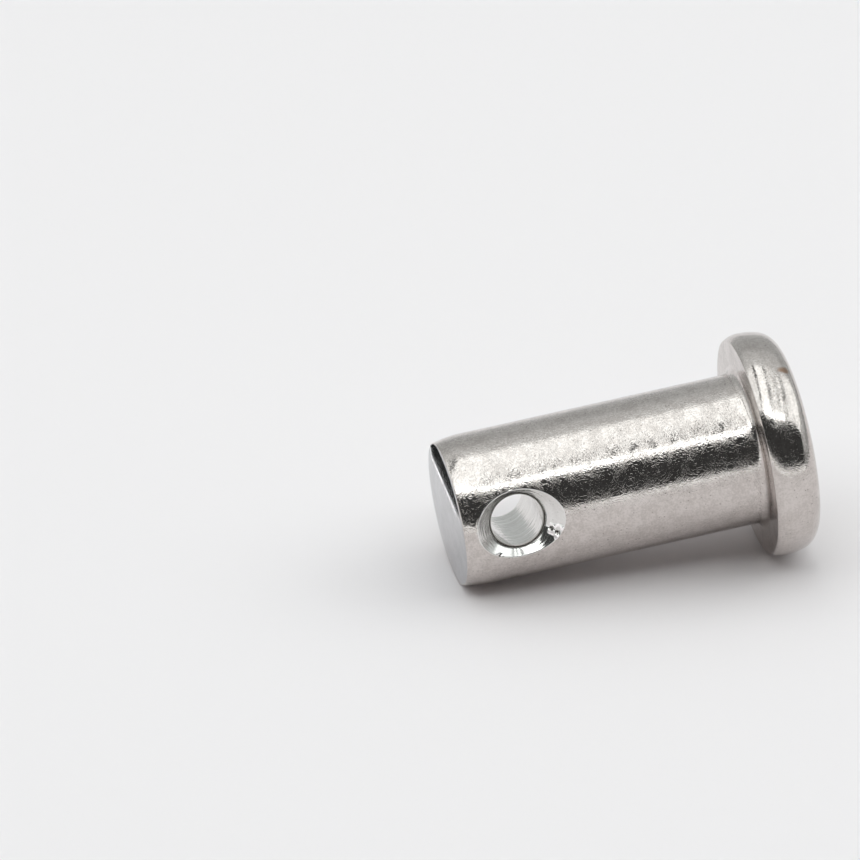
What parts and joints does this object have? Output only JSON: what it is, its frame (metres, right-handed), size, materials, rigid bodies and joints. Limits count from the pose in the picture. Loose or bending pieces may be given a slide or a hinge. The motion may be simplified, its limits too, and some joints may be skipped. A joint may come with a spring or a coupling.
{
  "type": "clevis pin",
  "caption": "Short stainless clevis pin with a flat round head and a countersunk cross hole near its free end for a cotter.",
  "frame": {"origin": "centre of the head's outer face, at the bottom of the pin", "axes": "+Z is the pin's own axis, from the head to the free end; the cross hole runs along Y"},
  "size_m": [0.0119, 0.0118, 0.0189],
  "materials": {
    "pin_steel": "tumbled stainless steel, bright with fine short scratches"
  },
  "bodies": {
    "root": {"clevis_pin": "pin_steel"}
  },
  "joints": []
}
